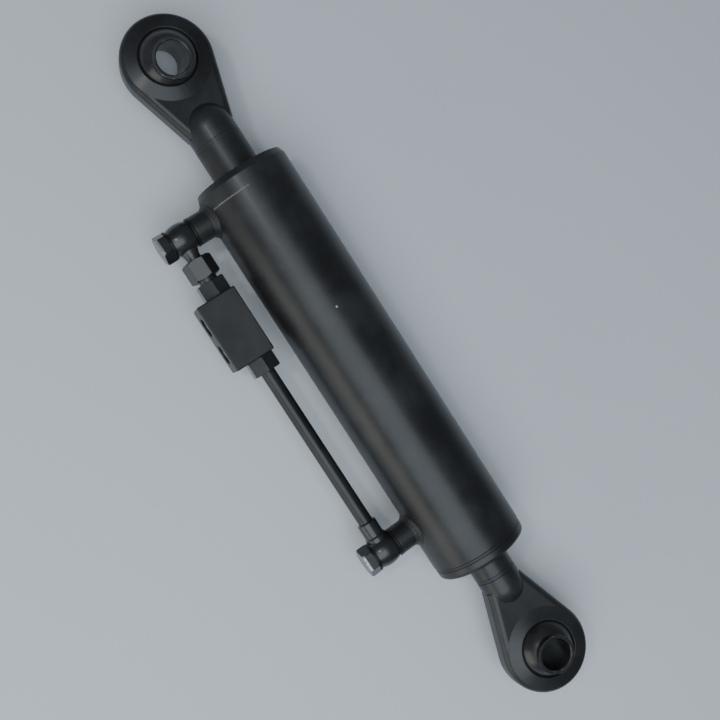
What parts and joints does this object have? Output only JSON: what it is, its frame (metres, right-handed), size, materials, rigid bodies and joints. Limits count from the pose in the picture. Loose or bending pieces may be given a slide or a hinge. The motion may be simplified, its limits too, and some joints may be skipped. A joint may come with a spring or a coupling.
{
  "type": "hydraulic top link",
  "caption": "Hydraulic tractor top link: double-acting cylinder with a swivel ball eye at each end and a pilot-operated double check valve piped to side ports.",
  "frame": {"origin": "centre of the base ball, at the barrel end of the link", "axes": "+X runs along the link from the base ball to the rod ball, +Y points from the barrel to its ports and the valve, +Z is the common axis of the two eyes and stands up when the link lies flat on its barrel"},
  "size_m": [0.634, 0.1287, 0.08],
  "materials": {
    "black_paint": "semi-gloss black spray paint over steel",
    "rod_steel": "ground hard-chromed rod, oversprayed in semi-gloss black where it shows",
    "ball_steel": "steel ball, black finished, worn bright on the crown",
    "bolt_steel": "steel bolt, thinly oversprayed black with bare bright end",
    "inner_steel": "machined steel",
    "spring_steel": "drawn spring wire",
    "washer_copper": "copper sealing washer, oversprayed",
    "bush_bronze": "bronze guide bush",
    "guide_plastic": "filled guide strip",
    "seal_rubber": "nitrile rubber"
  },
  "bodies": {
    "barrel": {"banjo_base_side": "black_paint", "banjo_bolt_base_side": "bolt_steel", "banjo_bolt_rod_side": "bolt_steel", "banjo_rod_side": "black_paint", "barrel_tube": "black_paint", "base_cap": "black_paint", "base_cap_weld": "black_paint", "base_eye_housing": "black_paint", "base_eye_weld": "black_paint", "check_seat_base_side": "inner_steel", "check_seat_rod_side": "inner_steel", "check_spring_base_side": "spring_steel", "check_spring_rod_side": "spring_steel", "cutting_ring": "inner_steel", "gland": "black_paint", "gland_oring": "seal_rubber", "pipe_stud": "black_paint", "port_boss_base_side": "black_paint", "port_boss_rod_side": "black_paint", "port_weld_base_side": "black_paint", "port_weld_rod_side": "black_paint", "rod_guide_bush": "bush_bronze", "rod_seal": "seal_rubber", "rod_wiper": "seal_rubber", "sealing_washers": "washer_copper", "stud_orings": "seal_rubber", "transfer_pipe": "black_paint", "union_nut": "black_paint", "valve_adapter": "black_paint", "valve_block": "black_paint"},
    "piston_seals": {"piston_seal": "seal_rubber", "piston_guide_rings": "guide_plastic"},
    "rod": {"piston_rod": "rod_steel", "piston": "inner_steel", "piston_nut": "inner_steel", "piston_oring": "seal_rubber", "rod_eye_housing": "black_paint", "rod_eye_weld": "black_paint"},
    "rod_ball": {"rod_ball": "ball_steel"},
    "base_ball": {"base_ball": "ball_steel"},
    "pilot_piston": {"pilot_piston": "inner_steel"},
    "check_poppet_rod_side": {"check_poppet_rod_side": "inner_steel"},
    "check_poppet_base_side": {"check_poppet_base_side": "inner_steel"}
  },
  "joints": [
    {"name": "piston_slide", "type": "slide", "parent": "barrel", "child": "piston_seals", "axis": [1, 0, 0], "range_m": [0, 0.21]},
    {"name": "rod_turn", "type": "hinge", "parent": "piston_seals", "child": "rod", "pos_m": [0.174, 0, 0], "axis": [1, 0, 0], "continuous": true},
    {"name": "rod_ball_swivel", "type": "hinge", "parent": "rod", "child": "rod_ball", "pos_m": [0.56, 0, 0], "axis": [0, 1, 0], "range_deg": [-7.4, 32.6]},
    {"name": "base_ball_swivel", "type": "hinge", "parent": "barrel", "child": "base_ball", "pos_m": [0, 0, 0], "axis": [0, 1, 0], "range_deg": [-13, 27]},
    {"name": "pilot_slide", "type": "slide", "parent": "barrel", "child": "pilot_piston", "axis": [1, 0, 0], "range_m": [-0.0007, 0.0007]},
    {"name": "check_poppet_rod_side_slide", "type": "slide", "parent": "barrel", "child": "check_poppet_rod_side", "axis": [1, 0, 0], "range_m": [0, 0.0015], "stiffness_N_per_m": 800, "springref_m": -0.002, "deforming": ["check_spring_rod_side"]},
    {"name": "check_poppet_base_side_slide", "type": "slide", "parent": "barrel", "child": "check_poppet_base_side", "axis": [-1, 0, 0], "range_m": [0, 0.0015], "stiffness_N_per_m": 800, "springref_m": -0.002, "deforming": ["check_spring_base_side"]}
  ]
}
